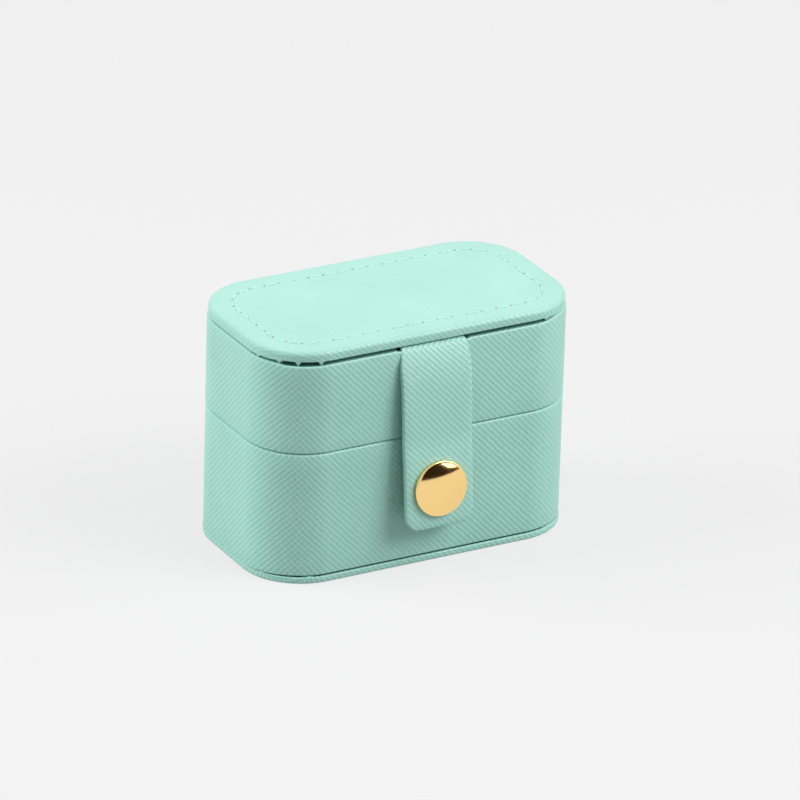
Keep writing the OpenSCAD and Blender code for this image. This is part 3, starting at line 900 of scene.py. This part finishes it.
# The rows of the face lie closest at the crease.
face_in = np.concatenate([
    np.linspace(hinge_half[1], 8 * mm, 17), np.linspace(7.5 * mm, hinge_edge, 10),
])[:, None]
hinge_inset = np.concatenate([
    face_in, (hinge_edge - hinge_edge * hinge_high_cos)[1:], [[0.0]], face_in[::-1],
])
hinge_depth = np.concatenate([
    0 * face_in, (hinge_edge - hinge_edge * hinge_high_sin)[1:], [[leather_t]], leather_t + 0 * face_in,
])
hinge_flat = plan(hinge_ring, hinge_inset)
crease = hinge_crease * np.exp(-((hinge_flat[..., 1] / crease_w) ** 2))
hinge_y = leaf_high.y + hinge_proud - hinge_depth - crease
hinge_points = np.stack([-hinge_flat[..., 0], hinge_y, split_z + hinge_flat[..., 1]], -1)
hinge = skin("hinge_strip", hinge_points, hinge_flat, leather)
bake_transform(hinge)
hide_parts("hinge_base_leaf", "hinge_lid_leaf")


# Strap: two layers of leather glued back to back, turned in behind the lid wall and bent down the front.
# Its tip is cut with two round corners, and its edges are pressed down a little and rounded.
flex = next(joint for joint in frame["joints"] if joint["name"] == "strap_flex")
fold = np.array(flex["pos_m"])
front_y = wall_low.y
strap_lean = np.arctan2(strap_high.y - strap_low.y - leather_t, strap_high.z - strap_low.z)
lean_heading = np.degrees(strap_lean) - 90
strap_stops = np.array([0, 5, 6.2, 7.2, 9.2, 13.6, 19.6, 27.6, 32.6, 37.1, 41.6, 52, 62]) * mm
strap_heading = np.array([
    90, 90, 0, 0, -64, -74, -83, -86.5, -88, -81.3, lean_heading, lean_heading, -95,
])
strap_start = np.array([-wall_t, panel_foot - 5.75 * mm])


def strap_line():
    """Outer face of the strap in section: lengths along it, distances out from the wall, heights, headings.

    The heading is linear between a few stops, and the place is the running sum of its cosine and sine.
    """
    length = np.linspace(0, strap_stops[-1], 1200)
    heading = np.radians(np.interp(length, strap_stops, strap_heading))
    step = length[1]
    out = strap_start[0] + np.concatenate([[0], np.cumsum(np.cos(heading[:-1]))]) * step
    up = strap_start[1] + np.concatenate([[0], np.cumsum(np.sin(heading[:-1]))]) * step
    return length, out, up, heading


line_l, line_out, line_up, line_heading = strap_line()
strap_l = line_l[np.argmax(line_up < strap_low.z)]
strap_tip_r = 4 * mm
strap_edge = 0.3 * mm
strap_ring = ring(strap_half, strap_l / 2, strap_tip_r, 0.5 * mm)
edge_cos, edge_sin = quarter(90, 0, 7)
strap_in = np.concatenate([np.linspace(10, 2, 9), [1.4, 0.9, 0.6]])[:, None] * mm
strap_round = strap_edge - strap_edge * edge_cos
strap_inset = np.concatenate([strap_in, strap_round, strap_round[::-1], strap_in[::-1]])
strap_flat = plan(strap_ring, strap_inset)
flat_l = strap_l / 2 - strap_flat[..., 1]
lap_start = 9 * mm
lap_l = 7 * mm
lapped = np.clip((flat_l - lap_start) / lap_l, 0, 1)
strap_t = leather_t + leather_t * lapped
strap_narrow = np.interp(flat_l, np.array([7, 9, 13, 58]) * mm, (0.9, 0.94, 1.0, 0.96))
strap_crown = 0.2 * mm
crown_w = 1.8 * mm
edge_share = np.concatenate([0 * strap_in, 1 - edge_sin])
edge_share = np.concatenate([edge_share, edge_share[::-1]]) * np.minimum(strap_edge, 0.4 * strap_t)
bow = strap_crown * lapped * np.clip(1 - strap_inset / crown_w, 0, 1) ** 2
behind = np.arange(len(strap_inset))[:, None] >= len(strap_inset) // 2
strap_depth = bow + np.where(behind, strap_t - edge_share, edge_share)
heading = np.interp(flat_l, line_l, line_heading)
strap_out = np.interp(flat_l, line_l, line_out) + np.sin(heading) * strap_depth
strap_up = np.interp(flat_l, line_l, line_up) - np.cos(heading) * strap_depth
strap_points = np.stack([strap_flat[..., 0] * strap_narrow, front_y - strap_out, strap_up], -1)
strap = skin("closing_strap", strap_points, strap_flat, leather)
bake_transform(strap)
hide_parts("strap_root", "strap_front", "strap_back")


# Ring snap on the strap: a domed cap in front, and a socket with a split spring ring behind.
# Cap and socket are pressed from brass sheet and plated, and the cap's post is flared in the socket.
strap_outward = np.array([0, -np.cos(strap_lean), np.sin(strap_lean)])
strap_upward = np.array([0, np.sin(strap_lean), np.cos(strap_lean)])
cap_low, cap_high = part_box("snap_cap")
cap_r = cap_high.x
cap_h = 2 * mm
cap_wide_h = 0.5 * mm
cap_wall_h = 0.7 * mm
cap_rim = 0.3 * mm
cap_curl = 0.12 * mm
cap_z = (cap_low.z + cap_high.z) / 2
snap_down = (fold[2] - cap_z + cap_wide_h * np.sin(strap_lean)) / np.cos(strap_lean)
snap_foot = fold - strap_upward * snap_down
cap_rise = cap_h - cap_wall_h - cap_rim
dome_r = ((cap_r - cap_rim) ** 2 + cap_rise ** 2) / (2 * cap_rise)
dome = np.linspace(cap_r - cap_rim, 0, 24)[1:]
rim_cos, rim_sin = (part[:, 0] for part in quarter(0, 90, 13))
post_r = 1.6 * mm
post_l = 2 * leather_t + 0.5 * mm
flare_r = 2.1 * mm
flare_h = 0.25 * mm
cap_radius = np.concatenate([
    [0.0, flare_r, flare_r, post_r, post_r, cap_r - cap_curl, cap_r],
    cap_r - cap_rim + cap_rim * rim_cos, dome,
])
cap_height = np.concatenate([
    [-post_l - flare_h, -post_l - flare_h, -post_l, -post_l, 0.0, 0.0, cap_curl],
    cap_wall_h + cap_rim * rim_sin, cap_h - dome_r + np.sqrt(dome_r ** 2 - dome ** 2),
])
cap = turned(
    "snap_cap_gold", cap_radius, cap_height, snap_foot, strap_outward, gold, count=160, sharp=12
)
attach(cap, "strap")
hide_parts("snap_cap")

socket_foot = snap_foot - strap_outward * 2 * leather_t
socket_r = 5.3 * mm
socket_body_r = 4.2 * mm
socket_h = 2.7 * mm
socket_t = 0.5 * mm
socket_lip_h = 0.3 * mm
socket_hole_r = 1.7 * mm
spring_d = 0.5 * mm
bore_r = 2.45 * mm
groove_r = 2.85 * mm
spring_h = socket_h - socket_lip_h - spring_d / 2
groove_low = spring_h - spring_d / 2 - 0.1 * mm
groove_high = spring_h + spring_d / 2 + 0.1 * mm
top_cos, top_sin = (part[:, 0] for part in quarter(0, 90, 7))
socket_radius = np.concatenate([
    [socket_hole_r], socket_r - socket_t / 2 + socket_t / 2 * lip_cos,
    socket_body_r + cove_r + cove_r * cove_cos, socket_body_r - socket_t + socket_t * top_cos,
    [bore_r, bore_r, groove_r, groove_r, bore_r, bore_r, socket_hole_r, socket_hole_r],
])
socket_height = np.concatenate([
    [0.0], socket_t / 2 + socket_t / 2 * lip_sin,
    socket_t + cove_r + cove_r * cove_sin, socket_h - socket_t + socket_t * top_sin,
    [socket_h, groove_high, groove_high, groove_low, groove_low, socket_t, socket_t, 0.0],
])
socket = turned("snap_socket_gold", socket_radius, socket_height, socket_foot, -strap_outward, gold)
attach(socket, "strap")
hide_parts("snap_socket")

spring_r = 2.35 * mm
spring_gap = 50
spring_rows = 72
spring_turn = np.radians(np.linspace(spring_gap / 2, 360 - spring_gap / 2, spring_rows))[:, None]
wire_turn = np.linspace(0, 2 * np.pi, 12, endpoint=False)
wire_end = np.concatenate([[0.0], np.ones(spring_rows - 2), [0.0]])[:, None]
spring_spoke = spring_r + spring_d / 2 * wire_end * np.cos(wire_turn)
spring_side = np.array([1.0, 0.0, 0.0])
spring_points = (
    socket_foot - strap_outward * (spring_h + spring_d / 2 * wire_end * np.sin(wire_turn))[..., None]
    + (spring_spoke * np.cos(spring_turn))[..., None] * spring_side
    + (spring_spoke * np.sin(spring_turn))[..., None] * strap_upward
)
steel = plated_brass("spring_steel", "#C9CCD0", 0.25)
spring = skin("snap_spring_ring", spring_points, spring_points[..., :2], steel)
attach(spring, "strap")
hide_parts("snap_spring")


# Studio: a pale floor, a soft world, and soft lamps from the right, the front and the left.
# Seen directly or in metal the floor is near white, and it throws less light back on the walls.
floor_size = 6.0
floor_seen = "#D2D2D2"
floor_thrown = "#9B9B9B"
floor_glow = 0.8
sky_thrown = 0.42
sky_seen = 0.89


def directly_seen(tree):
    """1 for a ray that shows the surface itself, directly, in gloss or through glass, and 0 for others."""
    path = add_node(tree, "ShaderNodeLightPath").outputs
    seen = path["Is Camera Ray"]
    for kind in ("Is Glossy Ray", "Is Transmission Ray"):
        seen = add_node(tree, "ShaderNodeMath", {0: seen, 1: path[kind]}, operation="MAXIMUM").outputs[0]
    return seen


floor_corners = np.array([(-1, -1, 0), (1, -1, 0), (1, 1, 0), (-1, 1, 0)]) * floor_size / 2
paper, tree = new_material("studio_paper")
seen = directly_seen(tree)
floor_colour = add_node(
    tree, "ShaderNodeMix", {"Factor": seen, "A": linear(floor_thrown), "B": linear(floor_seen)},
    data_type="RGBA",
).outputs["Result"]
matt = add_node(tree, "ShaderNodeBsdfDiffuse", {"Color": floor_colour})
glow = add_node(tree, "ShaderNodeEmission", {"Strength": sky_seen})
share = add_node(tree, "ShaderNodeMath", {0: seen, 1: floor_glow}, operation="MULTIPLY").outputs[0]
even = add_node(tree, "ShaderNodeMixShader", {0: share, 1: matt.outputs[0], 2: glow.outputs[0]})
add_node(tree, "ShaderNodeOutputMaterial", {"Surface": even.outputs[0]})
floor = new_piece("studio_floor", floor_corners, np.arange(4), paper)

world = bpy.data.worlds.new("studio")
bpy.context.scene.world = world
world.use_nodes = True
tree = world.node_tree
tree.nodes.clear()
seen = directly_seen(tree)
strength = add_node(
    tree, "ShaderNodeMapRange", {"Value": seen, "To Min": sky_thrown, "To Max": sky_seen}
).outputs[0]
sky = add_node(tree, "ShaderNodeBackground", {"Color": (1.0, 1.0, 1.0, 1.0), "Strength": strength})
add_node(tree, "ShaderNodeOutputWorld", {"Surface": sky.outputs[0]})


def soft_lamp(name, direction, distance, size, power, in_gloss=True, aim=(0, 0, 0.03)):
    """A square soft lamp at a distance in a direction from the case, turned to face it.

    A low lamp is kept out of the gloss, where its glare would whiten the lid panel from the other side.
    """
    lamp = bpy.data.lights.new(name, "AREA")
    lamp.size = size
    lamp.energy = power
    holder = bpy.data.objects.new(name, lamp)
    holder.location = Vector(aim) + Vector(direction).normalized() * distance
    holder.rotation_euler = (Vector(aim) - holder.location).to_track_quat("-Z", "Y").to_euler()
    holder.visible_camera = False
    holder.visible_glossy = in_gloss
    bpy.context.scene.collection.objects.link(holder)


soft_lamp("lamp_right", (0.85, -0.35, 0.6), 1.5, 0.7, 4.4)
soft_lamp("lamp_front", (0.56, -0.64, 0.75), 1.5, 0.8, 16.4)
soft_lamp("lamp_left", (-0.84, 0.36, 0.53), 1.5, 1.0, 21.7, in_gloss=False)


# Cards of the studio: a dark one on the floor in front of the case, a white one over it, and one behind.
# Only gloss shows them, on the metal and on the leather, and they throw no light or shadow.
card_distance = 1.5
card_steps = 40


def studio_card(name, turns, lows, highs, colour, strength):
    """A card that stands round the case, between two elevations at each turn from the front, in degrees."""
    turn = np.radians(np.linspace(turns[0], turns[-1], card_steps))
    rise = np.radians([np.interp(np.degrees(turn), turns, edge) for edge in (lows, highs)])
    place = np.stack(np.broadcast_arrays(np.sin(turn), -np.cos(turn), np.tan(rise)), -1) * card_distance
    low = np.arange(card_steps - 1)
    high = low + card_steps
    material, tree = new_material(name)
    shine = add_node(tree, "ShaderNodeEmission", {"Color": linear(colour), "Strength": strength})
    add_node(tree, "ShaderNodeOutputMaterial", {"Surface": shine.outputs[0]})
    card = new_piece(name, place, np.stack([low, low + 1, high + 1, high], -1), material)
    card.visible_camera = False
    card.visible_diffuse = False
    card.visible_shadow = False


studio_card(
    "card_dark", (-45, -12, 5, 16, 24, 31, 35, 50), (0, 0, 0, 0, 0, 0, 0, 0),
    (0, 10, 12, 15.5, 14.5, 8.5, 5.5, 1.5), "#3A2C1C", 0.5,
)
studio_card(
    "card_white", (25, 30, 35, 42, 48, 60), (14, 9.5, 6, 4, 2.5, 4),
    (24, 24, 22, 20, 18, 12), "#FFFFFF", 3.0,
)
studio_card("card_back", (110, 210), (4, 4), (60, 60), "#FFFFFF", 1.3)


# Camera: a long lens on the left in front, looking down at the case, and turned a little about its axis.
# The framing is the photograph's, with the focal length in its pixels.
azimuth, elevation, roll = np.radians((-29.26, 24.25, 1.69))
camera_distance = 1.945
focal_px = 7586.5
picture_px = 800
target = np.array([4.54, 0, 33.91]) * mm
back = np.array([
    np.sin(azimuth) * np.cos(elevation), -np.cos(azimuth) * np.cos(elevation), np.sin(elevation)
])
right = np.array([np.cos(azimuth), np.sin(azimuth), 0])
up = np.cross(back, right)
camera_x = right * np.cos(roll) + up * np.sin(roll)
camera_y = up * np.cos(roll) - right * np.sin(roll)
camera_data = bpy.data.cameras.new("camera")
camera_data.sensor_width = 36
camera_data.lens = focal_px / picture_px * camera_data.sensor_width
camera = bpy.data.objects.new("camera", camera_data)
turned_to = np.eye(4)
turned_to[:3, :3] = np.stack([camera_x, camera_y, back], -1)
turned_to[:3, 3] = target + back * camera_distance
camera.matrix_world = Matrix(turned_to)
bpy.context.scene.collection.objects.link(camera)
bpy.context.scene.camera = camera
bpy.context.scene.view_settings.view_transform = "Standard"
